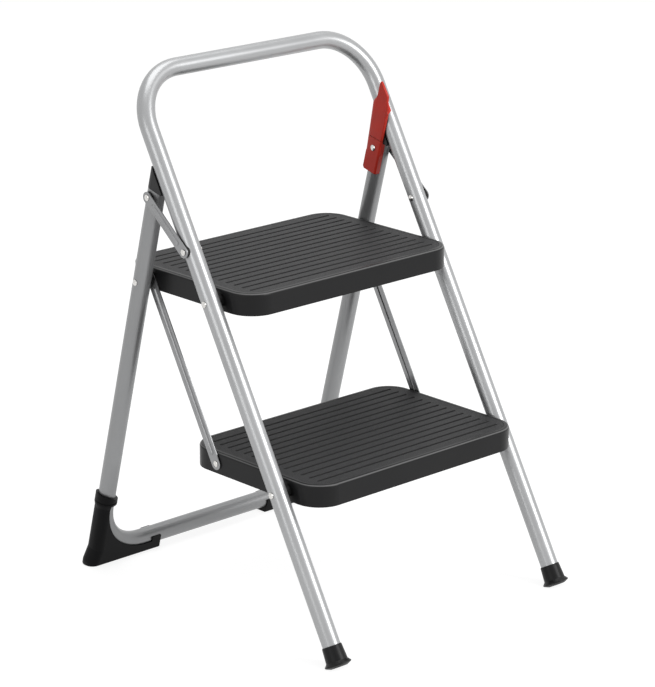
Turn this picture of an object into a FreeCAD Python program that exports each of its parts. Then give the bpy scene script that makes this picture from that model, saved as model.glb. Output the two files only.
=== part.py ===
# Two-step folding stool with a grab hoop, made of bent steel tube.
# The stool stands open on the floor: +X to the user's right, -Y to the front where the user climbs,
# +Z up, origin on the floor in the middle of the footprint. Sizes are in millimetres and degrees.
# Each tube frame is drawn upright in its own plane and then leaned; right-hand pieces are drawn first
# and mirrored to the left.
import FreeCAD, Part
import math
import os

Vector = FreeCAD.Vector

# Tube frames
tube_diameter = 25.0
tube_wall = 1.2
bend_radius = 78.0
leg_half_span = 210.0
foot_spread = 512.0
front_lean = 29.4
rear_lean = 14.7
hoop_height = 742.0
cross_tube_lift = 6.5

# Steps
upper_step_height = 463.0
lower_step_height = 229.0
step_width = 385.0
step_depth = 262.0
step_thickness = 31.0
step_corner_radius = 38.0
step_edge_radius = 4.0
step_sheet = 1.2
step_hem = 7.0
step_front_overhang = 58.5
pivot_drop = 17.0

# Ribbed mats let into the step tops
mat_margin = 7.0
mat_recess = 2.6
mat_gap = 0.4
rib_pitch = 16.35
groove_width = 4.6
groove_floor = 2.0
groove_depth = 1.5
groove_end_inset = 17.0

# Rivets
rivet_radius = 2.5
rivet_head_radius = 4.4
rivet_head_height = 2.0
running_clearance = 0.08
side_clearance = 0.3
spacer_radius = 8.0

# Links between the two frames, one on each outer side
link_front_height = 511.0
link_rear_height = 572.0
link_width = 16.0
link_sheet = 1.6
link_bead_radius = 3.4
link_bead_height = 2.2
link_standoff = 2.0

# Hang bars between the two steps
bar_width = 17.0
bar_sheet = 1.5
bar_bead_radius = 3.2
bar_bead_height = 2.0
bar_gap = 0.5
bead_end_margin = 13.0

# Front feet
foot_top = 31.5
foot_top_wall = 1.2
foot_waist = 10.5
foot_waist_wall = 2.5
foot_lip_wall = 6.0
foot_lip_thickness = 3.0
foot_sole = 2.0
tube_end_above_floor = 9.0

# Rear corner shoes
shoe_wall = 1.9
shoe_toe_flare = 5.8
shoe_collar_low = 104.0
shoe_collar_inner = 112.0
shoe_collar_outer = 120.0
shoe_collar_wall = 3.8
shoe_groove = 0.9
shoe_inner_end = 104.0
shoe_clip_length = 16.0
shoe_clip_rise = 5.0
shoe_edge_drop = 2.0
shoe_toe_height = 8.0
shoe_round = 13.0
shoe_sole_round = 3.0

# Rear tube ends
tube_above_link_pivot = 12.0
cap_length = 29.5
cap_overhang = 9.0
cap_cheek = 4.5
cap_plug_length = 16.0
cap_plug_gap = 0.15
cap_taper = 3.0

# Latch on the right-hand rear leg
latch_thickness = 4.2
latch_below_pivot = 35.0
latch_half_width = 13.8
latch_wrap = 9.0
latch_back_chamfer = 3.0
latch_hinge_above_tube = 3.0
latch_top_back = 18.0
latch_shoulder = 60.0
latch_tip = 87.0
latch_tip_offset = 7.5
latch_tip_half_width = 3.0
latch_hook_reach = 9.5
latch_hook_wall = 3.5
latch_hook_low = 56.0
latch_hook_high = 75.0
latch_clearance = 0.3

# Worked out from the values above
tube_radius = tube_diameter / 2
front_tilt = math.radians(front_lean)
rear_tilt = math.radians(rear_lean)
front_foot_y = -foot_spread / 2
rear_foot_y = foot_spread / 2
hoop_distance = (hoop_height - tube_radius) / math.cos(front_tilt)
cross_distance = (cross_tube_lift + tube_radius) / math.cos(rear_tilt)
step_half_width = step_width / 2
leg_inner_x = leg_half_span - tube_radius
leg_outer_x = leg_half_span + tube_radius
step_inner_x = step_half_width - step_sheet
bar_inner_x = step_half_width + bar_gap
bar_outer_x = bar_inner_x + bar_sheet
link_inner_x = leg_outer_x + link_standoff
link_outer_x = link_inner_x + link_sheet
latch_inner_x = leg_inner_x - latch_thickness

front_plane = FreeCAD.Placement(Vector(0, front_foot_y, 0), FreeCAD.Rotation(Vector(1, 0, 0), -front_lean))
rear_plane = FreeCAD.Placement(Vector(0, rear_foot_y, 0), FreeCAD.Rotation(Vector(1, 0, 0), rear_lean))


def on_front_leg(height):
    """Point (y, z) of the front leg's axis at a height above the floor."""
    return front_foot_y + height * math.tan(front_tilt), height


def on_rear_leg(height):
    """Point (y, z) of the rear leg's axis at a height above the floor."""
    return rear_foot_y - height * math.tan(rear_tilt), height


upper_front_pivot = on_front_leg(upper_step_height - pivot_drop)
lower_front_pivot = on_front_leg(lower_step_height - pivot_drop)
upper_rear_pivot = on_rear_leg(upper_step_height - pivot_drop)
pivot_distance = upper_rear_pivot[0] - upper_front_pivot[0]
lower_rear_pivot = (lower_front_pivot[0] + pivot_distance, lower_front_pivot[1])
link_front_pivot = on_front_leg(link_front_height)
link_rear_pivot = on_rear_leg(link_rear_height)
rear_tube_top = link_rear_height / math.cos(rear_tilt) + tube_above_link_pivot


def leaned(shape, plane):
    """Lean a piece drawn upright in a frame's own plane."""
    moved = shape.copy()
    moved.Placement = plane.multiply(moved.Placement)
    return moved


def mirrored(shape):
    """The left-hand twin of a right-hand piece."""
    return shape.mirror(Vector(0, 0, 0), Vector(1, 0, 0))


def both_sides(shape):
    """A group of a right-hand piece and its left-hand twin."""
    return Part.makeCompound([shape, mirrored(shape)])


def rod(radius, x_start, x_end, place):
    """A cylinder along X between two x values, through a point (y, z)."""
    start = Vector(min(x_start, x_end), place[0], place[1])
    return Part.makeCylinder(radius, abs(x_end - x_start), start, Vector(1, 0, 0))


def ring(outer_radius, bore_radius, x_start, x_end, place):
    """A washer or bush along X."""
    return rod(outer_radius, x_start, x_end, place).cut(rod(bore_radius, x_start, x_end, place))


def head(x_seat, direction, place, height=rivet_head_height):
    """A domed rivet head whose flat seat is at x_seat and whose dome points along direction (+1 or -1)."""
    shoulder = height * 0.3
    bottom = Part.makeCylinder(rivet_head_radius, shoulder)
    rise = height - shoulder
    ball_radius = (rivet_head_radius ** 2 + rise ** 2) / (2 * rise)
    ball = Part.makeSphere(ball_radius, Vector(0, 0, height - ball_radius))
    dome = Part.makeCylinder(rivet_head_radius, rise, Vector(0, 0, shoulder)).common(ball)
    shape = bottom.fuse(dome).removeSplitter()
    turn = FreeCAD.Rotation(Vector(0, 1, 0), 90 * direction)
    shape.Placement = FreeCAD.Placement(Vector(x_seat, place[0], place[1]), turn)
    return shape


def leg_cylinder(plane, radius):
    """The straight line of the right-hand leg of a frame, as a long cylinder for seating pieces on it."""
    length = hoop_distance + bend_radius
    upright = Part.makeCylinder(radius, length, Vector(leg_half_span, 0, -bend_radius))
    return leaned(upright, plane)


front_leg_line = leg_cylinder(front_plane, tube_radius)
rear_leg_line = leg_cylinder(rear_plane, tube_radius)


def box_between(low, high):
    """A block between two opposite corners."""
    return Part.makeBox(high[0] - low[0], high[1] - low[1], high[2] - low[2], Vector(*low))


below_floor = box_between((-2 * leg_half_span, -foot_spread, -foot_spread), (2 * leg_half_span, foot_spread, 0))


# Bent tube frames

def bent_path(end_distance, turn_distance):
    """U-shaped centre line in the plane y = 0, from the left leg's end round to the right leg's end."""
    inward = 1 if turn_distance > end_distance else -1
    corner = turn_distance - inward * bend_radius
    flat = leg_half_span - bend_radius
    diagonal = bend_radius * math.sqrt(0.5)
    arc_x = flat + diagonal
    arc_z = corner + inward * diagonal
    left_end = Vector(-leg_half_span, 0, end_distance)
    left_leg = Vector(-leg_half_span, 0, corner)
    left_bar = Vector(-flat, 0, turn_distance)
    right_bar = Vector(flat, 0, turn_distance)
    right_leg = Vector(leg_half_span, 0, corner)
    right_end = Vector(leg_half_span, 0, end_distance)
    edges = [
        Part.makeLine(left_end, left_leg),
        Part.Arc(left_leg, Vector(-arc_x, 0, arc_z), left_bar).toShape(),
        Part.makeLine(left_bar, right_bar),
        Part.Arc(right_bar, Vector(arc_x, 0, arc_z), right_leg).toShape(),
        Part.makeLine(right_leg, right_end),
    ]
    return Part.Wire(edges)


def bent_rod(end_distance, turn_distance, radius):
    """A round bar bent along the U-shaped centre line."""
    start = Vector(-leg_half_span, 0, end_distance)
    circle = Part.Wire([Part.makeCircle(radius, start, Vector(0, 0, 1))])
    return bent_path(end_distance, turn_distance).makePipeShell([circle], True, False)


def bent_tube(end_distance, turn_distance, plane):
    """A hollow tube bent into a U and leaned into its plane."""
    outside = bent_rod(end_distance, turn_distance, tube_radius)
    bore = bent_rod(end_distance, turn_distance, tube_radius - tube_wall)
    return leaned(outside.cut(bore), plane)


def drilled(shape, places, radius=rivet_radius):
    """Drill both legs of a frame, or both sides of a step, across at each place."""
    reach = 2 * leg_half_span
    for place in places:
        shape = shape.cut(rod(radius, -reach, reach, place))
    return shape


def make_front_hoop():
    start = tube_end_above_floor / math.cos(front_tilt)
    tube = bent_tube(start, hoop_distance, front_plane)
    return drilled(tube, [upper_front_pivot, lower_front_pivot, link_front_pivot])


def make_rear_tube():
    tube = bent_tube(rear_tube_top, cross_distance, rear_plane)
    tube = drilled(tube, [upper_rear_pivot])
    inner_hole = rod(rivet_radius, leg_half_span, leg_inner_x - tube_radius, link_rear_pivot)
    return tube.cut(both_sides(inner_hole))


# Front feet: moulded cups with a flared lip, worn flat where they stand

def make_front_foot():
    end = tube_end_above_floor / math.cos(front_tilt)
    rim = tube_radius + foot_top_wall
    waist = tube_radius + foot_waist_wall
    lip = tube_radius + foot_lip_wall
    lip_low = foot_waist - foot_lip_thickness - foot_lip_wall / 2
    lip_high = lip_low + foot_lip_thickness
    points = [
        Vector(0, 0, foot_sole),
        Vector(waist * 0.8, 0, foot_sole),
        Vector(lip - 1, 0, lip_low),
        Vector(lip, 0, lip_low + 1),
        Vector(lip, 0, lip_high - 1),
        Vector(lip - 1, 0, lip_high),
        Vector(waist, 0, foot_waist),
        Vector(rim, 0, foot_top - 1),
        Vector(rim - 0.6, 0, foot_top),
        Vector(tube_radius, 0, foot_top),
        Vector(tube_radius, 0, end),
        Vector(0, 0, end),
    ]
    profile = Part.Face(Part.makePolygon(points + points[:1]))
    cup = profile.revolve(Vector(0, 0, 0), Vector(0, 0, 1), 360)
    cup.translate(Vector(leg_half_span, 0, 0))
    return leaned(cup, front_plane).cut(below_floor)


# Rear corner shoes: a web that fills the corner outside the tube bend, with a collar round the leg
# and a clip under the cross tube

def make_rear_shoe():
    half = tube_radius + shoe_wall
    outer = leg_half_span + half
    toe = outer + shoe_toe_flare
    low = -2 * half
    centre_x = leg_half_span - bend_radius
    centre_z = cross_distance + bend_radius
    edge_radius = bend_radius + shoe_edge_drop
    clip_start = shoe_inner_end + shoe_clip_length
    clip_top = cross_distance + shoe_clip_rise
    edge_low = cross_distance - shoe_edge_drop
    edge_x = leg_half_span + shoe_edge_drop
    turn_45 = edge_radius * math.sqrt(0.5)
    points = [
        Vector(edge_x, 0, shoe_collar_low),
        Vector(outer, 0, shoe_collar_low),
        Vector(outer, 0, 2 * half),
        Vector(toe, 0, shoe_toe_height),
        Vector(toe, 0, low),
        Vector(shoe_inner_end, 0, low),
        Vector(shoe_inner_end, 0, clip_top),
        Vector(clip_start, 0, clip_top),
        Vector(clip_start, 0, edge_low),
        Vector(centre_x, 0, edge_low),
    ]
    edges = [Part.makeLine(a, b) for a, b in zip(points, points[1:])]
    bend_middle = Vector(centre_x + turn_45, 0, centre_z - turn_45)
    bend_end = Vector(edge_x, 0, centre_z)
    edges.append(Part.Arc(points[-1], bend_middle, bend_end).toShape())
    edges.append(Part.makeLine(bend_end, points[0]))
    web = Part.Face(Part.Wire(edges)).extrude(Vector(0, 2 * half, 0))
    web.translate(Vector(0, -half, 0))
    outer_edges = [edge for edge in web.Edges if is_outer_edge(edge, outer, toe, half)]
    web = web.makeFillet(min(shoe_round, 0.95 * half), outer_edges)
    collar_radius = tube_radius + shoe_collar_wall
    collar = Part.makeCylinder(
        collar_radius, shoe_collar_outer - shoe_collar_low, Vector(leg_half_span, 0, shoe_collar_low))
    slope = math.degrees(math.atan2(shoe_collar_outer - shoe_collar_inner, tube_diameter))
    above = Part.makeBox(6 * half, 6 * half, 2 * half, Vector(-3 * half, -3 * half, 0))
    above.Placement = FreeCAD.Placement(
        Vector(leg_half_span, 0, (shoe_collar_inner + shoe_collar_outer) / 2),
        FreeCAD.Rotation(Vector(0, 1, 0), -slope)).multiply(above.Placement)
    groove_z = shoe_collar_low + (shoe_collar_inner - shoe_collar_low) / 2
    groove = Part.makeTorus(collar_radius, shoe_groove, Vector(leg_half_span, 0, groove_z))
    lower_collar = Part.makeCone(
        half, collar_radius, 2 * shoe_collar_wall,
        Vector(leg_half_span, 0, shoe_collar_low - 2 * shoe_collar_wall))
    skirt_cut = box_between(
        (0, -2 * half, shoe_collar_low - 3 * shoe_collar_wall), (edge_x, 2 * half, shoe_collar_low))
    lower_collar = lower_collar.cut(skirt_cut)
    shoe = web.fuse([collar.cut(above).cut(groove), lower_collar])
    tube = bent_rod(rear_tube_top, cross_distance, tube_radius)
    shoe = leaned(shoe.cut(tube).removeSplitter(), rear_plane).cut(below_floor)
    sole_edges = [edge for edge in shoe.Edges if is_sole_edge(edge, shoe_inner_end)]
    return shoe.makeFillet(shoe_sole_round, sole_edges)


def is_sole_edge(edge, inner_end):
    """True for the edges round a shoe's sole, except the one across its inner end."""
    on_floor = all(abs(vertex.Point.z) < 0.01 for vertex in edge.Vertexes)
    return on_floor and not all(vertex.Point.x < inner_end + 0.01 for vertex in edge.Vertexes)


def is_outer_edge(edge, outer, toe, half):
    """True for the long edges of a shoe's web on its outer side, front and back."""
    ends = [vertex.Point for vertex in edge.Vertexes]
    on_face = all(abs(abs(point.y) - half) < 0.01 for point in ends)
    same_side = abs(ends[0].y - ends[-1].y) < 0.01
    outside = all(point.x > outer - 0.01 and point.x < toe + 0.01 for point in ends)
    return on_face and same_side and outside


# Rear tube caps: plugs whose top is a wedge saddled against the back of the front leg

def in_rear_plane(shape):
    return leaned(shape, rear_plane)


def behind_front_leg(depth):
    """Everything in front of a plane parallel to the front leg, at a depth behind its axis."""
    size = 4 * bend_radius
    block = Part.makeBox(size, size, 4 * size, Vector(leg_half_span - size / 2, depth - size, 0))
    return leaned(block, front_plane)


def make_rear_cap():
    top = rear_tube_top + cap_length
    stem = Part.makeCylinder(tube_radius, cap_length, Vector(leg_half_span, 0, rear_tube_top))
    overhang = box_between(
        (leg_inner_x, -tube_radius - cap_overhang, rear_tube_top),
        (leg_outer_x, 0, top))
    plug_radius = tube_radius - tube_wall - cap_plug_gap
    plug = Part.makeCylinder(
        plug_radius, cap_plug_length, Vector(leg_half_span, 0, rear_tube_top - cap_plug_length))
    taper_points = [
        Vector(0, tube_radius, rear_tube_top + cap_length / 3),
        Vector(0, tube_radius - cap_taper, top),
        Vector(0, tube_diameter, top),
        Vector(0, tube_diameter, rear_tube_top + cap_length / 3),
    ]
    taper = Part.Face(Part.makePolygon(taper_points + taper_points[:1])).extrude(Vector(3 * leg_half_span, 0, 0))
    wedge = in_rear_plane(stem.fuse(overhang).cut(taper))
    wedge = wedge.cut(behind_front_leg(tube_radius - cap_cheek))
    wedge = wedge.cut(leg_cylinder(front_plane, tube_radius + side_clearance))
    cap = wedge.fuse(in_rear_plane(plug)).removeSplitter()
    return cap.cut(rod(rivet_radius, leg_inner_x, leg_half_span, link_rear_pivot))


# Steps: pressed sheet pans with a raised rim, a recess for the mat and hemmed skirts

def rounded_outline(width, depth, radius, front, height):
    """A face of a rectangle with rounded corners; front is the y of its front edge."""
    side = width / 2
    back = front + depth
    low = front + radius
    high = back - radius
    flat = side - radius
    diagonal = radius * (1 - math.sqrt(0.5))
    edges = []
    corners = [
        ((flat, front), (side - diagonal, front + diagonal), (side, low)),
        ((side, high), (side - diagonal, back - diagonal), (flat, back)),
        ((-flat, back), (-side + diagonal, back - diagonal), (-side, high)),
        ((-side, low), (-side + diagonal, front + diagonal), (-flat, front)),
    ]
    for index, corner in enumerate(corners):
        start, middle, end = [Vector(point[0], point[1], height) for point in corner]
        following = corners[(index + 1) % len(corners)][0]
        edges.append(Part.Arc(start, middle, end).toShape())
        edges.append(Part.makeLine(end, Vector(following[0], following[1], height)))
    return Part.Face(Part.Wire(edges))


def rounded_slab(inset, low, high):
    """A slab of the step's outline drawn in by an inset, between two heights above the pivot line."""
    face = rounded_outline(
        step_width - 2 * inset, step_depth - 2 * inset, step_corner_radius - inset,
        inset - step_front_overhang, low)
    return face.extrude(Vector(0, 0, high - low))


def make_step_pan():
    """One step, with its front pivot line at the origin."""
    top = pivot_drop
    bottom = top - step_thickness
    recess_floor = top - mat_recess
    block = rounded_slab(0, bottom, top)
    top_edges = [edge for edge in block.Edges if all(abs(v.Z - top) < 0.01 for v in edge.Vertexes)]
    block = block.makeFillet(step_edge_radius, top_edges)
    recess = rounded_slab(mat_margin, recess_floor, top + 1)
    mouth = rounded_slab(step_sheet + step_hem, bottom - 1, bottom + step_sheet)
    hollow = rounded_slab(step_sheet, bottom + step_sheet, recess_floor - step_sheet)
    rim_hollow = rounded_slab(step_edge_radius, recess_floor - step_sheet, top - step_sheet)
    rim_core = rounded_slab(mat_margin - step_sheet, recess_floor - step_sheet, top - step_sheet)
    pan = block.cut([recess, mouth, hollow, rim_hollow.cut(rim_core)])
    return drilled(pan, [(0, 0)], rivet_radius + running_clearance)


def make_groove():
    """Cutter for one groove between ribs: a sunk channel with round, sloping ends."""
    top = pivot_drop - mat_gap / 2
    reach = step_half_width - mat_margin - groove_end_inset
    wide = groove_width / 2
    narrow = groove_floor / 2
    above = 1.0
    flare = wide + (wide - narrow) * above / groove_depth
    section = [
        Vector(-reach, -flare, top + above),
        Vector(-reach, flare, top + above),
        Vector(-reach, narrow, top - groove_depth),
        Vector(-reach, -narrow, top - groove_depth),
    ]
    channel = Part.Face(Part.makePolygon(section + section[:1])).extrude(Vector(2 * reach, 0, 0))
    ends = []
    for x in (-reach, reach):
        ends.append(Part.makeCone(narrow, flare, groove_depth + above, Vector(x, 0, top - groove_depth)))
    return channel.fuse(ends)


def make_mat():
    """Ribbed mat that lies in the recess of a step; the grooves leave a plain border all round."""
    top = pivot_drop - mat_gap / 2
    slab = rounded_slab(mat_margin + mat_gap, pivot_drop - mat_recess, top)
    middle = step_depth / 2 - step_front_overhang
    field = step_depth - 2 * mat_margin - rib_pitch
    grooves = int(field // rib_pitch)
    first = middle - (grooves - 1) / 2 * rib_pitch
    cutter = make_groove()
    cutters = []
    for index in range(grooves):
        groove = cutter.copy()
        groove.translate(Vector(0, first + index * rib_pitch, 0))
        cutters.append(groove)
    return slab.cut(cutters)


def at_pivot(shape, place):
    """Put a piece drawn about its pivot at the pivot's place."""
    moved = shape.copy()
    moved.translate(Vector(0, place[0], place[1]))
    return moved


def make_step(front_pivot, rear_pivot, rear_clearance):
    pan = at_pivot(make_step_pan(), front_pivot)
    return drilled(pan, [rear_pivot], rivet_radius + rear_clearance)


# Links and hang bars: stamped strips with round ends and a hollow bead pressed along the middle

def pressed_strip(start, end, inner_x, sheet, width, bead_radius, bead_height, bores):
    """A right-hand strip between two pivots (y, z), bead outwards, with its two bore radii."""
    length = math.hypot(end[0] - start[0], end[1] - start[1])
    half = width / 2
    plate = Part.makeBox(sheet, length, width, Vector(0, 0, -half))
    for y in (0, length):
        plate = plate.fuse(Part.makeCylinder(half, sheet, Vector(0, y, 0), Vector(1, 0, 0)))
    core_x = sheet + bead_height - bead_radius
    hollow_radius = bead_radius - sheet
    plate = plate.fuse(bead(bead_radius, core_x, length).common(
        Part.makeBox(bead_radius * 2, length, width, Vector(sheet / 2, 0, -half))))
    plate = plate.cut(bead(hollow_radius, core_x, length))
    for y, bore in zip((0, length), bores):
        plate = plate.cut(Part.makeCylinder(bore, 2 * sheet, Vector(-sheet / 2, y, 0), Vector(1, 0, 0)))
    tilt = math.degrees(math.atan2(end[1] - start[1], end[0] - start[0]))
    plate = plate.removeSplitter()
    plate.Placement = FreeCAD.Placement(
        Vector(inner_x, start[0], start[1]), FreeCAD.Rotation(Vector(1, 0, 0), tilt))
    return plate


def bead(radius, core_x, length):
    """A round bar with ball ends along Y, for a bead or its hollow back."""
    start = Vector(core_x, bead_end_margin + radius, 0)
    end = Vector(core_x, length - bead_end_margin - radius, 0)
    bar = Part.makeCylinder(radius, end.y - start.y, start, Vector(0, 1, 0))
    return bar.fuse([Part.makeSphere(radius, start), Part.makeSphere(radius, end)])


def make_link():
    bores = (rivet_radius + running_clearance, rivet_radius)
    return pressed_strip(
        link_front_pivot, link_rear_pivot, link_inner_x, link_sheet, link_width,
        link_bead_radius, link_bead_height, bores)


def make_hang_bar():
    bores = (rivet_radius + running_clearance, rivet_radius + running_clearance)
    return pressed_strip(
        upper_rear_pivot, lower_rear_pivot, bar_inner_x, bar_sheet, bar_width,
        bar_bead_radius, bar_bead_height, bores)


# Rivets, spacers and washers, right-hand side

def make_step_rivet(place, leg_line):
    """Rivet across a leg and into a step's skirt, headed on the outside and clenched inside the step."""
    seat = leg_outer_x - rivet_head_height / 2
    outer = rod(rivet_head_radius, seat, leg_outer_x, place).cut(leg_line)
    clench_x = step_inner_x - side_clearance
    shank = rod(rivet_radius, clench_x, leg_outer_x, place)
    return shank.fuse([outer, head(leg_outer_x, 1, place), head(clench_x, -1, place)]).removeSplitter()


def make_saddle(x_inner, x_crest, radius, place, leg_line):
    """A bush whose outer end is hollowed to sit on a round tube."""
    toward_tube = 1 if x_crest > x_inner else -1
    depth = radius ** 2 / (2 * tube_radius)
    bush = ring(radius, rivet_radius, x_inner, x_crest + toward_tube * depth, place)
    return bush.cut(leg_line)


def make_step_spacer(place):
    return make_saddle(step_half_width + side_clearance, leg_inner_x, spacer_radius, place, front_leg_line)


def make_bar_spacer():
    return make_saddle(
        bar_outer_x + side_clearance, leg_inner_x, spacer_radius, upper_rear_pivot, rear_leg_line)


def make_link_washer():
    return make_saddle(
        link_inner_x - running_clearance, leg_outer_x, spacer_radius, link_front_pivot, front_leg_line)


def make_link_rivet():
    """Rivet across the front leg that the link turns on."""
    place = link_front_pivot
    outer_seat = link_outer_x + side_clearance
    inner_seat = leg_inner_x + rivet_head_height / 2
    inner = rod(rivet_head_radius, leg_inner_x, inner_seat, place).cut(front_leg_line)
    shank = rod(rivet_radius, leg_inner_x, outer_seat, place)
    return shank.fuse([inner, head(leg_inner_x, -1, place), head(outer_seat, 1, place)]).removeSplitter()


def make_link_end_rivet():
    """Outer half of the rivet at the link's rear end, with its head; it ends just clear of the rear leg."""
    place = link_rear_pivot
    end = leg_outer_x + side_clearance
    return rod(rivet_radius, end, link_outer_x, place).fuse(head(link_outer_x, 1, place)).removeSplitter()


def make_link_end_washer():
    return ring(spacer_radius, rivet_radius, leg_outer_x + side_clearance, link_inner_x, link_rear_pivot)


def make_leg_end_rivet(seat_x):
    """Inner half of the same rivet, through the rear leg, headed on the leg's inner side at seat_x."""
    place = link_rear_pivot
    shank = rod(rivet_radius, seat_x, leg_half_span, place)
    skirt = rod(rivet_head_radius, leg_inner_x, leg_inner_x + rivet_head_height / 2, place).cut(rear_leg_line)
    parts = [head(seat_x, -1, place)]
    if seat_x == leg_inner_x:
        parts.append(skirt)
    return shank.fuse(parts).removeSplitter()


def make_bar_rivet():
    """Rivet that hangs a bar on the lower step's skirt."""
    place = lower_rear_pivot
    seat = bar_outer_x + running_clearance
    shank = rod(rivet_radius, step_inner_x, seat, place)
    return shank.fuse([head(seat, 1, place), head(step_inner_x, -1, place)]).removeSplitter()


# Latch: a clip that straddles the right rear leg, and a springy lever above it whose hook
# passes in front of the front leg

def leg_profile(points, x_low, x_high):
    """Extrude an outline given as (back, up) pairs in the rear frame's plane, between two x values."""
    corners = [Vector(x_low, back, up) for back, up in points]
    face = Part.Face(Part.makePolygon(corners + corners[:1]))
    return face.extrude(Vector(x_high - x_low, 0, 0))


latch_line = rear_tube_top + latch_hinge_above_tube


def make_latch_clip():
    low = link_rear_height / math.cos(rear_tilt) - latch_below_pivot
    half = latch_half_width
    reach = latch_inner_x + latch_wrap
    body = box_between((latch_inner_x, -half, low), (reach, half, latch_line))
    slant = leg_profile([(-half, low), (half, low), (half, low + half / 3)], latch_inner_x, reach)
    body = body.cut(slant)
    edges = [edge for edge in body.Edges if is_long_edge(edge, latch_inner_x, half)]
    body = body.makeChamfer(latch_back_chamfer / 2, edges)
    body = body.cut(Part.makeCylinder(tube_radius, hoop_distance, Vector(leg_half_span, 0, 0)))
    beyond_tube = box_between(
        (leg_inner_x - latch_clearance, -2 * half, rear_tube_top), (leg_outer_x, 2 * half, latch_line + 1))
    body = leaned(body.cut(beyond_tube), rear_plane)
    return body.cut(rod(rivet_radius, latch_inner_x - 1, leg_inner_x + 1, link_rear_pivot))


def is_long_edge(edge, x, half):
    """True for the two long edges of the latch's face."""
    ends = [vertex.Point for vertex in edge.Vertexes]
    on_face = all(abs(point.x - x) < 0.01 and abs(abs(point.y) - half) < 0.01 for point in ends)
    return on_face and abs(ends[0].z - ends[-1].z) > half


def make_latch_lever():
    low = latch_line + latch_clearance
    base = rear_tube_top
    half = latch_half_width
    outline = [
        (-half, low),
        (half, low),
        (latch_top_back, base + latch_shoulder),
        (latch_tip_offset + latch_tip_half_width, base + latch_tip),
        (latch_tip_offset - latch_tip_half_width, base + latch_tip),
        (-half, base + latch_hook_high - 4),
    ]
    plate = leg_profile(outline, latch_inner_x, leg_inner_x - latch_clearance)
    upright_edges = [edge for edge in plate.Edges if is_across_edge(edge, base + latch_shoulder - 1)]
    plate = leaned(plate.makeFillet(latch_tip_half_width * 0.8, upright_edges), rear_plane)
    return plate.fuse(make_latch_hook()).removeSplitter()


def is_across_edge(edge, above):
    """True for the edges through the latch's thickness above a height."""
    ends = [vertex.Point for vertex in edge.Vertexes]
    return abs(ends[0].x - ends[-1].x) > 0.5 and all(point.z > above for point in ends)


def make_latch_hook():
    """Wedge-shaped hook in front of the front leg, drawn square to that leg."""
    crossing = foot_spread * math.cos(rear_tilt) / math.sin(front_tilt + rear_tilt)
    rear_crossing = foot_spread * math.cos(front_tilt) / math.sin(front_tilt + rear_tilt)
    low = crossing + (rear_tube_top + latch_hook_low - rear_crossing)
    high = crossing + (rear_tube_top + latch_hook_high - rear_crossing)
    face_y = -tube_radius - latch_clearance
    tip_x = leg_inner_x + latch_hook_reach
    section = [
        Vector(latch_inner_x, 0, low),
        Vector(latch_inner_x, face_y - 2 * latch_hook_wall, low),
        Vector(leg_inner_x, face_y - 2 * latch_hook_wall, low),
        Vector(tip_x, face_y - latch_hook_wall / 2, low),
        Vector(tip_x, 0, low),
    ]
    hook = Part.Face(Part.makePolygon(section + section[:1])).extrude(Vector(0, 0, high - low))
    hook = hook.cut(Part.makeCylinder(tube_radius + latch_clearance, 2 * hoop_distance,
                                      Vector(leg_half_span, 0, 0)))
    behind = box_between((leg_inner_x - latch_clearance, -latch_hook_reach, low - 1),
                         (leg_outer_x, tube_diameter, high + 1))
    return leaned(hook.cut(behind), front_plane)


def build_pieces():
    """Every node of the stool by name."""
    foot = make_front_foot()
    shoe = make_rear_shoe()
    cap = make_rear_cap()
    link = make_link()
    bar = make_hang_bar()
    mat = make_mat()
    step_pivots = (upper_front_pivot, lower_front_pivot)
    front_rivets = Part.makeCompound([make_step_rivet(place, front_leg_line) for place in step_pivots])
    front_spacers = Part.makeCompound([make_step_spacer(place) for place in step_pivots])
    link_end_rivet = make_link_end_rivet()
    link_end_washer = make_link_end_washer()
    plain_end = mirrored(make_leg_end_rivet(leg_inner_x))
    latch_end = make_leg_end_rivet(latch_inner_x)
    return {
        "front_hoop": make_front_hoop(),
        "front_foot_right": foot,
        "front_foot_left": mirrored(foot),
        "step_pivot_rivets": Part.makeCompound([front_rivets, mirrored(front_rivets)]),
        "step_pivot_spacers": Part.makeCompound([front_spacers, mirrored(front_spacers)]),
        "link_pivot_rivets": both_sides(make_link_rivet()),
        "link_pivot_washers": both_sides(make_link_washer()),
        "rear_frame_tube": make_rear_tube(),
        "rear_shoe_right": shoe,
        "rear_shoe_left": mirrored(shoe),
        "rear_cap_right": cap,
        "rear_cap_left": mirrored(cap),
        "rear_pivot_rivets": both_sides(make_step_rivet(upper_rear_pivot, rear_leg_line)),
        "rear_pivot_spacers": both_sides(make_bar_spacer()),
        "latch_clip": make_latch_clip(),
        "latch_rivet": latch_end,
        "leg_end_rivet": plain_end,
        "latch_lever": make_latch_lever(),
        "upper_step": make_step(upper_front_pivot, upper_rear_pivot, running_clearance),
        "upper_mat": at_pivot(mat, upper_front_pivot),
        "lower_step": make_step(lower_front_pivot, lower_rear_pivot, 0),
        "lower_mat": at_pivot(mat, lower_front_pivot),
        "hang_bar_rivets": both_sides(make_bar_rivet()),
        "hang_bar_right": bar,
        "hang_bar_left": mirrored(bar),
        "link_right": link,
        "link_left": mirrored(link),
        "link_end_rivet_right": link_end_rivet,
        "link_end_rivet_left": mirrored(link_end_rivet),
        "link_end_washer_right": link_end_washer,
        "link_end_washer_left": mirrored(link_end_washer),
    }


def centring_shift(shapes):
    """How far back the stool moves so that the middle of its footprint is at y = 0."""
    whole = Part.makeCompound(list(shapes)).optimalBoundingBox()
    return -(whole.YMin + whole.YMax) / 2


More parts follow.
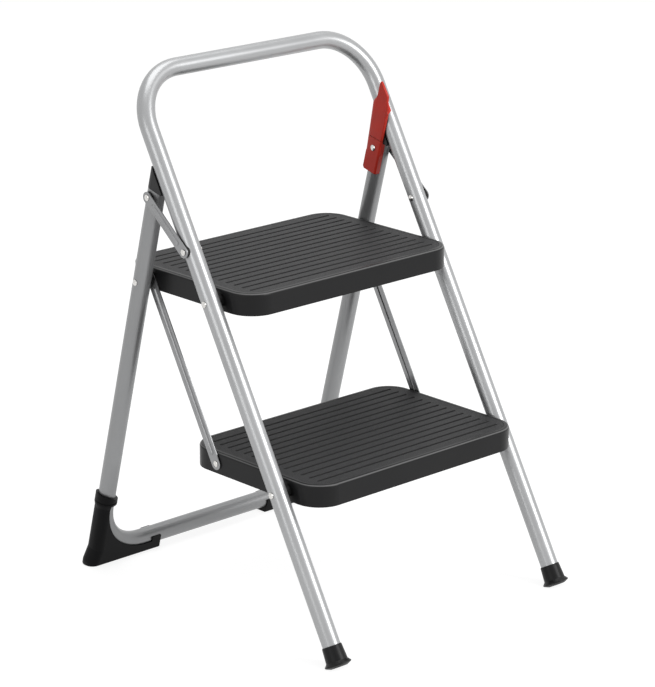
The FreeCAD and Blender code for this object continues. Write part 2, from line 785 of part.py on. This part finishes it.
pieces = build_pieces()
shift = centring_shift(pieces.values())
os.makedirs("parts", exist_ok=True)
for name, piece in pieces.items():
    piece.translate(Vector(0, shift, 0))
    piece.exportStep("parts/" + name + ".step")
    sound = piece.isValid() and all(solid.Volume > 0 for solid in piece.Solids)
    print(name, "solids", len(piece.Solids), "volume", round(piece.Volume), "sound", sound)
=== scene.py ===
import math
import bmesh
import bpy
from mathutils import Matrix, Vector


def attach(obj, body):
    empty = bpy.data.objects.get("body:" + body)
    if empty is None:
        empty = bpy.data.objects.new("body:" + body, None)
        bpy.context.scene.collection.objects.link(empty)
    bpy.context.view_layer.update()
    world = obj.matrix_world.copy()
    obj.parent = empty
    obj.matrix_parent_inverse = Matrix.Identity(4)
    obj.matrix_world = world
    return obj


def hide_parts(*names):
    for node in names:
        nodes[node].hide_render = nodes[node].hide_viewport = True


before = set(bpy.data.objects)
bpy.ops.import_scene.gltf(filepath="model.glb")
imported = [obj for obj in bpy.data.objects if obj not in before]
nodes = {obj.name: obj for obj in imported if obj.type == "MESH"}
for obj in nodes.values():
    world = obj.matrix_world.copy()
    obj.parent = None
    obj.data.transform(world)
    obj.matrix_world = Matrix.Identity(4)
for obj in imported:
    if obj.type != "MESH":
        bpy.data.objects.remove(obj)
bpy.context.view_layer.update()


# Camera: it looks from the front left, from a little above the handrail, through a long lens.
# The aim is the point on the stool that the view is centred on.
view_azimuth = math.radians(-42.977)
view_elevation = math.radians(17.425)
view_roll = math.radians(0.075)
view_distance = 4.026
view_aim = Vector((0.00456, -0.00199, 0.34324))
lens_length = 152.0
sensor_width = 36.0

towards_camera = Vector((math.sin(view_azimuth) * math.cos(view_elevation),
                         -math.cos(view_azimuth) * math.cos(view_elevation),
                         math.sin(view_elevation)))
camera_data = bpy.data.cameras.new("camera")
camera_data.sensor_width = sensor_width
camera_data.lens = lens_length
camera_data.clip_start = 0.1
camera_data.clip_end = 60.0
camera = bpy.data.objects.new("camera", camera_data)
bpy.context.scene.collection.objects.link(camera)
camera.rotation_mode = "QUATERNION"
camera.location = view_aim + towards_camera * view_distance
camera.rotation_quaternion = (
    (-towards_camera).to_track_quat("-Z", "Y") @ Matrix.Rotation(view_roll, 3, "Z").to_quaternion())
bpy.context.scene.camera = camera
bpy.context.scene.view_settings.view_transform = "Standard"


# Stage: a white floor that runs out of sight, under a soft white room. Seen by the camera or in a
# reflection the floor is white, and it keeps a faint shadow where the stool stands.
floor_half = 14.0
floor_glow = 0.87
floor_seen = 0.27
floor_colour = 0.8
room_light = 0.4
white = (1, 1, 1, 1)


def new_material(name):
    """An empty node material, with its nodes and links."""
    material = bpy.data.materials.new(name)
    material.use_nodes = True
    return material, material.node_tree.nodes, material.node_tree.links


def add_mesh(name, points, faces):
    """A mesh object made from corner points and faces, in metres."""
    mesh = bpy.data.meshes.new(name)
    mesh.from_pydata(points, [], faces)
    mesh.update()
    piece = bpy.data.objects.new(name, mesh)
    bpy.context.scene.collection.objects.link(piece)
    return piece


def larger_of(tree, links, first, second):
    """The larger of two values."""
    larger = tree.new("ShaderNodeMath")
    larger.operation = "MAXIMUM"
    links.new(first, larger.inputs[0])
    links.new(second, larger.inputs[1])
    return larger.outputs[0]


def seen_directly(tree, links):
    """1 for rays from the camera and from reflections, 0 for the light that falls on things."""
    path = tree.new("ShaderNodeLightPath").outputs
    either = larger_of(tree, links, path["Is Camera Ray"], path["Is Glossy Ray"])
    return larger_of(tree, links, either, path["Is Transmission Ray"])


def switch(tree, links, unseen, seen, target):
    """Send one shader to the target for the light on things, and another for what is seen."""
    mix = tree.new("ShaderNodeMixShader")
    links.new(seen_directly(tree, links), mix.inputs["Fac"])
    links.new(unseen, mix.inputs[1])
    links.new(seen, mix.inputs[2])
    links.new(mix.outputs["Shader"], target.inputs["Surface"])


def matt_grey(tree, value):
    """A plain diffuse shader of one grey."""
    shader = tree.new("ShaderNodeBsdfDiffuse")
    shader.inputs["Color"].default_value = (value, value, value, 1)
    return shader.outputs["BSDF"]


corners = [(-1, -1), (1, -1), (1, 1), (-1, 1)]
floor = add_mesh("floor", [(x * floor_half, y * floor_half, 0) for x, y in corners], [(0, 1, 2, 3)])
floor_material, tree, links = new_material("floor")
tree.remove(tree["Principled BSDF"])
glow = tree.new("ShaderNodeEmission")
glow.inputs["Color"].default_value = white
glow.inputs["Strength"].default_value = floor_glow
white_floor = tree.new("ShaderNodeAddShader")
links.new(matt_grey(tree, floor_seen), white_floor.inputs[0])
links.new(glow.outputs["Emission"], white_floor.inputs[1])
switch(tree, links, matt_grey(tree, floor_colour), white_floor.outputs["Shader"], tree["Material Output"])
floor.data.materials.append(floor_material)

world = bpy.data.worlds.new("room")
bpy.context.scene.world = world
world.use_nodes = True
tree, links = world.node_tree.nodes, world.node_tree.links
backdrop = tree.new("ShaderNodeBackground")
backdrop.inputs["Color"].default_value = white
backdrop.inputs["Strength"].default_value = 1.0
room = tree["Background"]
room.inputs["Color"].default_value = white
room.inputs["Strength"].default_value = room_light
switch(tree, links, room.outputs["Background"], backdrop.outputs["Background"], tree["World Output"])


# Lights: a soft key and a second one beyond it, both from the front right and above, draw the bright
# streaks down the tubes; a weak one stands on the left and a broad one hangs overhead.
def soft_light(name, place, aim_height, size, power):
    """A square soft light in metres and watts, turned to a height above the floor's middle."""
    data = bpy.data.lights.new(name, "AREA")
    data.shape = "SQUARE"
    data.size = size
    data.energy = power
    light = bpy.data.objects.new(name, data)
    light.location = place
    light.rotation_mode = "QUATERNION"
    light.rotation_quaternion = (Vector((0, 0, aim_height)) - Vector(place)).to_track_quat("-Z", "Y")
    bpy.context.scene.collection.objects.link(light)


soft_light("key", place=(1.3, -3.3, 2.5), aim_height=0.4, size=1.5, power=70)
soft_light("left", place=(-3.3, -0.5, 1.3), aim_height=0.35, size=1.4, power=14)
soft_light("front", place=(2.3, -4.6, 2.6), aim_height=0.7, size=1.6, power=38)
soft_light("top", place=(0.3, 0.4, 3.4), aim_height=0.2, size=2.4, power=42)


# Tube frames: the front hoop and the rear U are each one length of round steel tube, bent cold, under a
# satin silver powder paint with the faint orange peel that such paint dries with. Like every finish here
# it changes slowly in colour and gloss, has its own fine grain, and is darkened by painted shade in the gaps.
noise_low, noise_high = 0.3, 0.7
gap_open, gap_closed = 0.85, 0.35
gloss_change = 0.12
# The band of slopes, measured by the height of the world normal, that takes the painted rim highlight.
rim_from, rim_peak, rim_to = 0.45, 0.72, 0.93
black_mask = (0, 0, 0, 1)


def scaled_colour(colour, share):
    """A colour with each channel times a share, never past white."""
    return tuple(min(1, channel * share) for channel in colour) + (1,)


def noise(tree, links, place, scale, detail):
    """Noise over the piece's own coordinates."""
    texture = tree.new("ShaderNodeTexNoise")
    texture.inputs["Scale"].default_value = scale
    texture.inputs["Detail"].default_value = detail
    links.new(place.outputs["Object"], texture.inputs["Vector"])
    return texture.outputs["Fac"]


def ranged(tree, links, value, low, high, at_low, at_high):
    """A value brought from one range into another."""
    reach = tree.new("ShaderNodeMapRange")
    reach.inputs["From Min"].default_value = low
    reach.inputs["From Max"].default_value = high
    reach.inputs["To Min"].default_value = at_low
    reach.inputs["To Max"].default_value = at_high
    links.new(value, reach.inputs["Value"])
    return reach.outputs["Result"]


def darkened(tree, links, colour, factor):
    """A colour times a factor."""
    dim = tree.new("ShaderNodeMix")
    dim.data_type = "RGBA"
    dim.blend_type = "MULTIPLY"
    dim.inputs["Factor"].default_value = 1.0
    links.new(colour, dim.inputs["A"])
    links.new(factor, dim.inputs["B"])
    return dim.outputs["Result"]


def painted_rim_highlight(tree, links, colour_now, rim_highlight_colour):
    """A painted highlight: the lighter colour where the surface turns between level and upright."""
    geometry = tree.new("ShaderNodeNewGeometry")
    split = tree.new("ShaderNodeSeparateXYZ")
    links.new(geometry.outputs["Normal"], split.inputs["Vector"])
    band = tree.new("ShaderNodeValToRGB")
    band.color_ramp.elements[0].position = rim_from
    band.color_ramp.elements[0].color = black_mask
    band.color_ramp.elements[1].position = rim_to
    band.color_ramp.elements[1].color = black_mask
    peak = band.color_ramp.elements.new(rim_peak)
    peak.color = white
    links.new(split.outputs["Z"], band.inputs["Fac"])
    rim_lightened = tree.new("ShaderNodeMix")
    rim_lightened.data_type = "RGBA"
    links.new(band.outputs["Color"], rim_lightened.inputs["Factor"])
    links.new(colour_now, rim_lightened.inputs["A"])
    rim_lightened.inputs["B"].default_value = rim_highlight_colour
    return rim_lightened.outputs["Result"]


def finish_material(name, colour, roughness, metallic, specular, grain_scale, grain_depth,
                    blotch_scale, blotch, gap_reach, shade_in_gap, rim_highlight=0.0):
    """A finish: grain_depth and gap_reach are in metres, blotch is the share by which the colour changes,
    shade_in_gap is what painted shade leaves of it down in a gap, and rubbed is what a painted highlight on the
    rim adds to it."""
    material, tree, links = new_material(name)
    shader = tree["Principled BSDF"]
    shader.inputs["Metallic"].default_value = metallic
    shader.inputs["Specular IOR Level"].default_value = specular
    place = tree.new("ShaderNodeTexCoord")

    slow = noise(tree, links, place, blotch_scale, 4.0)
    ramp = tree.new("ShaderNodeValToRGB")
    ramp.color_ramp.elements[0].position = noise_low
    ramp.color_ramp.elements[1].position = noise_high
    ramp.color_ramp.elements[0].color = scaled_colour(colour, 1 - blotch)
    ramp.color_ramp.elements[1].color = scaled_colour(colour, 1 + blotch)
    links.new(slow, ramp.inputs["Fac"])
    colour_now = ramp.outputs["Color"]
    # Painted highlight: a lighter band where the surface turns between level and upright, as on a rounded rim.
    if rim_highlight:
        rim_highlight_colour = tuple(min(1, channel + rim_highlight) for channel in colour) + (1,)
        colour_now = painted_rim_highlight(tree, links, colour_now, rim_highlight_colour)

    # Painted shade: ambient occlusion darkens the colour in gaps, in creases and where parts meet.
    near = tree.new("ShaderNodeAmbientOcclusion")
    near.inputs["Distance"].default_value = gap_reach
    near.samples = 6
    painted_gap_shade = ranged(tree, links, near.outputs["AO"], gap_closed, gap_open, shade_in_gap, 1.0)
    links.new(darkened(tree, links, colour_now, painted_gap_shade), shader.inputs["Base Color"])

    gloss = ranged(tree, links, slow, noise_low, noise_high,
                   roughness * (1 - gloss_change), min(1, roughness * (1 + gloss_change)))
    links.new(gloss, shader.inputs["Roughness"])

    bump = tree.new("ShaderNodeBump")
    bump.inputs["Strength"].default_value = 1.0
    bump.inputs["Distance"].default_value = grain_depth
    links.new(noise(tree, links, place, grain_scale, 2.0), bump.inputs["Height"])
    links.new(bump.outputs["Normal"], shader.inputs["Normal"])
    return material


def dress(names, material):
    """Put one material on the frame's own nodes, in place of the plain one they came with."""
    for name in names:
        node = nodes[name]
        node.data.materials.clear()
        node.data.materials.append(material)


def nodes_with(*words):
    """The names of the nodes that have one of the words in them."""
    return [name for name in nodes if any(word in name for word in words)]


silver = finish_material(
    "silver_paint", colour=(0.40, 0.405, 0.41), roughness=0.33, metallic=0.6, specular=0.5,
    grain_scale=420.0, grain_depth=0.00001, blotch_scale=14.0, blotch=0.03, gap_reach=0.006, shade_in_gap=0.25)
dress(["front_hoop"], silver)
# The rear frame takes a darker copy of the same silver paint as painted shade.
rear_silver_shaded = finish_material(
    "rear_silver_paint", colour=(0.29, 0.293, 0.297), roughness=0.34, metallic=0.55, specular=0.5,
    grain_scale=420.0, grain_depth=0.00001, blotch_scale=14.0, blotch=0.03, gap_reach=0.006, shade_in_gap=0.25)
dress(["rear_frame_tube"], rear_silver_shaded)


# Links and hang bars: steel strips pressed with a raised bead and punched for their rivets, under the
# same paint, a little duller, with painted shade along the foot of the bead.
strip = finish_material(
    "strip_paint", colour=(0.31, 0.313, 0.318), roughness=0.3, metallic=0.6, specular=0.5,
    grain_scale=600.0, grain_depth=0.00001, blotch_scale=40.0, blotch=0.07, gap_reach=0.005, shade_in_gap=0.12)
dress(["link_left", "link_right", "hang_bar_left", "hang_bar_right"], strip)


# Steps: pans pressed from sheet steel with a raised rim and a deep skirt, riveted between the legs.
# They wear a satin charcoal paint, with a painted highlight along the rounded rim.
charcoal = finish_material(
    "charcoal_paint", colour=(0.0095, 0.0095, 0.01), roughness=0.34, metallic=0.0, specular=0.18,
    grain_scale=1500.0, grain_depth=0.00001, blotch_scale=9.0, blotch=0.1, gap_reach=0.008, shade_in_gap=0.4,
    rim_highlight=0.16)
dress(["upper_step", "lower_step"], charcoal)


# Mats: ribbed black rubber with a fine pebbled grain, moulded flat and glued into the pans. The rubber
# is mottled, and painted shade darkens the grooves between the ribs.
# Depths under the mat's top, and the share of colour left, for the painted shade in the grooves.
groove_dark_at = 0.0009
groove_starts_at = 0.0001
groove_shade = 0.05


def mat_material(name, top_height):
    """Rubber with painted shade, darker from just under the mat's top height down into the grooves."""
    material = finish_material(
        name, colour=(0.028, 0.028, 0.029), roughness=0.55, metallic=0.0, specular=0.16,
        grain_scale=1300.0, grain_depth=0.00025, blotch_scale=260.0, blotch=0.3, gap_reach=0.004,
        shade_in_gap=0.3)
    tree, links = material.node_tree.nodes, material.node_tree.links
    colour = tree["Principled BSDF"].inputs["Base Color"]
    place = tree.new("ShaderNodeTexCoord")
    split = tree.new("ShaderNodeSeparateXYZ")
    links.new(place.outputs["Object"], split.inputs["Vector"])
    # Painted shade: the colour darkens from just under the top down into the grooves.
    depth = ranged(tree, links, split.outputs["Z"],
                   top_height - groove_dark_at, top_height - groove_starts_at, groove_shade, 1.0)
    links.new(darkened(tree, links, colour.links[0].from_socket, depth), colour)
    return material


for mat in ("upper_mat", "lower_mat"):
    top_height = max(vertex.co.z for vertex in nodes[mat].data.vertices)
    dress([mat], mat_material(mat + "_rubber", top_height))


# Feet and corner shoes: black moulded plastic with a fine spark-eroded grain. The feet are cups pushed
# on the front legs' ends, and the shoes are clipped on the rear tube's bends.
foot_black = finish_material(
    "foot_moulding", colour=(0.0065, 0.0065, 0.007), roughness=0.42, metallic=0.0, specular=0.18,
    grain_scale=1600.0, grain_depth=0.00004, blotch_scale=20.0, blotch=0.2, gap_reach=0.006, shade_in_gap=0.4)
dress(nodes_with("foot"), foot_black)
shoe_black = finish_material(
    "shoe_moulding", colour=(0.0028, 0.0028, 0.0032), roughness=0.45, metallic=0.0, specular=0.1,
    grain_scale=1600.0, grain_depth=0.00004, blotch_scale=20.0, blotch=0.2, gap_reach=0.006, shade_in_gap=0.4)
dress(nodes_with("shoe"), shoe_black)


# Tube caps: plugs in a greyer black plastic, knocked into the rear frame's open ends, each with a wedge
# that rests against the back of the front leg.
cap_black = finish_material(
    "cap_moulding", colour=(0.018, 0.018, 0.019), roughness=0.45, metallic=0.0, specular=0.3,
    grain_scale=1600.0, grain_depth=0.00004, blotch_scale=30.0, blotch=0.2, gap_reach=0.004, shade_in_gap=0.4)
dress(nodes_with("cap"), cap_black)


# Spacers and washers: rings of plain black plastic that the rivets hold between the legs, the steps and
# the links.
spacer_black = finish_material(
    "black_spacer", colour=(0.008, 0.008, 0.008), roughness=0.45, metallic=0.0, specular=0.2,
    grain_scale=1600.0, grain_depth=0.00003, blotch_scale=30.0, blotch=0.2, gap_reach=0.003, shade_in_gap=0.4)
dress(nodes_with("spacer", "washer"), spacer_black)


# Rivets: zinc plated steel with domed heads, clenched at each pivot. They are bright on the crown, with
# a line of painted shade where the head meets the tube.
zinc = finish_material(
    "rivet_zinc", colour=(0.66, 0.65, 0.63), roughness=0.22, metallic=1.0, specular=0.5,
    grain_scale=2200.0, grain_depth=0.00002, blotch_scale=220.0, blotch=0.12, gap_reach=0.003, shade_in_gap=0.03)
dress(nodes_with("rivet"), zinc)


# Latch: a springy red moulding riveted to the inner side of the right rear leg. Its flat face is rounded
# along the front and bevelled along the back; above the tube it narrows to a thumb tip, and its hook
# passes in front of the front leg.
latch_face = 193.3
clip_depth = 9.0
clip_deep_top = 602.8
lever_back = 3.8
block_front = 3.9
face_steps = ((0.0, 1.0), (0.5, 0.62), (1.2, 0.25), (2.0, 0.0), (lever_back, 0.0))
hook_low, hook_top = 707.5, 726.5
hook_rise, hook_reach = 5.5, 10.7
rear_axis_y = 255.709
front_axis_y = -256.291
rear_tilt = math.radians(14.7)
front_tilt = math.radians(29.4)
edge_round = 0.0005
edge_angle = math.radians(25)

# Back from the leg's axis, up the leg, and how far the face is drawn in there, all in millimetres.
clip_outline = [
    (-13.8, 554.9, 2.6), (10.8, 554.9, -0.8), (13.8, 557.9, -1.2), (13.8, 582.8, -1.2),
    (13.9, 583.8, -4.2), (15.4, 606.3, -4.2), (-13.8, 606.3, 2.6)]
lever_outline = [
    (-13.8, 606.7, 2.6), (15.4, 606.7, -4.2), (18.9, 656.5, -4.2), (17.2, 660.8, -3.0), (12.7, 667.4, -1.2),
    (12.3, 687.5, -0.9), (11.4, 690.3, -0.5), (9.8, 691.4, 0.0), (8.0, 690.4, 0.5), (-7.2, 676.2, 1.0),
    (-8.3, 674.0, 1.0), (-9.0, 667.4, 1.2), (-13.8, 657.4, 2.6)]
# Back from the front leg's axis, and across the stool.
hook_section = [
    (-0.5, 193.5), (-18.0, 193.5), (-18.3, 197.5), (-17.2, 203.2), (-15.4, 204.0), (-11.6, 203.6),
    (-9.6, 201.6), (-7.0, 199.4), (-4.5, 197.1), (-0.5, 197.1)]


def on_rear_plane(x, back, up):
    """Metres from millimetres drawn on the rear leg's plane."""
    y = rear_axis_y + back * math.cos(rear_tilt) - up * math.sin(rear_tilt)
    z = back * math.sin(rear_tilt) + up * math.cos(rear_tilt)
    return (x / 1000, y / 1000, z / 1000)


def on_front_plane(x, back, up):
    """Metres from millimetres drawn on the front leg's plane."""
    y = front_axis_y + back * math.cos(front_tilt) + up * math.sin(front_tilt)
    z = -back * math.sin(front_tilt) + up * math.cos(front_tilt)
    return (x / 1000, y / 1000, z / 1000)


def stacked(layers):
    """Points and faces of a closed form through layers that have as many points each."""
    count = len(layers[0])
    points = [point for layer in layers for point in layer]
    faces = [tuple(range(count)), tuple(range(len(points) - count, len(points)))]
    for low in range(len(layers) - 1):
        for index in range(count):
            following = (index + 1) % count
            faces.append((low * count + index, low * count + following,
                          (low + 1) * count + following, (low + 1) * count + index))
    return points, faces


def face_layers(outline):
    """The layers from the rounded and bevelled face to the back of the lever's plate."""
    return [[on_rear_plane(latch_face + inwards, back + share * drawn, up) for back, up, drawn in outline]
            for inwards, share in face_steps]


def soften(piece):
    """Round a piece's hard edges a little and shade it smooth."""
    form = bmesh.new()
    form.from_mesh(piece.data)
    bmesh.ops.recalc_face_normals(form, faces=form.faces)
    form.to_mesh(piece.data)
    form.free()
    for polygon in piece.data.polygons:
        polygon.use_smooth = True
    bevel = piece.modifiers.new("rounded", "BEVEL")
    bevel.width = edge_round
    bevel.segments = 2
    bevel.limit_method = "ANGLE"
    bevel.angle_limit = edge_angle
    bevel.harden_normals = True


red = finish_material(
    "red_moulding", colour=(0.52, 0.028, 0.015), roughness=0.38, metallic=0.0, specular=0.25,
    grain_scale=1300.0, grain_depth=0.00003, blotch_scale=40.0, blotch=0.08, gap_reach=0.006, shade_in_gap=0.35)
clip_block = [
    [on_rear_plane(latch_face + inwards, back, min(up, clip_deep_top)) for back, up, drawn in clip_outline]
    for inwards in (block_front, clip_depth)]
points, faces = stacked(face_layers(clip_outline) + clip_block)
clip = add_mesh("latch_clip_moulding", points, faces)
soften(clip)
clip.data.materials.append(red)
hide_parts("latch_clip")
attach(clip, "rear_frame")

points, faces = stacked(face_layers(lever_outline))
hook_points, hook_faces = stacked([
    [on_front_plane(x, back, hook_low + hook_rise * (x - latch_face) / hook_reach) for back, x in hook_section],
    [on_front_plane(x, back, hook_top) for back, x in hook_section]])
faces += [tuple(corner + len(points) for corner in face) for face in hook_faces]
lever = add_mesh("latch_lever_moulding", points + hook_points, faces)
soften(lever)
lever.data.materials.append(red)
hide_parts("latch_lever")
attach(lever, "latch")
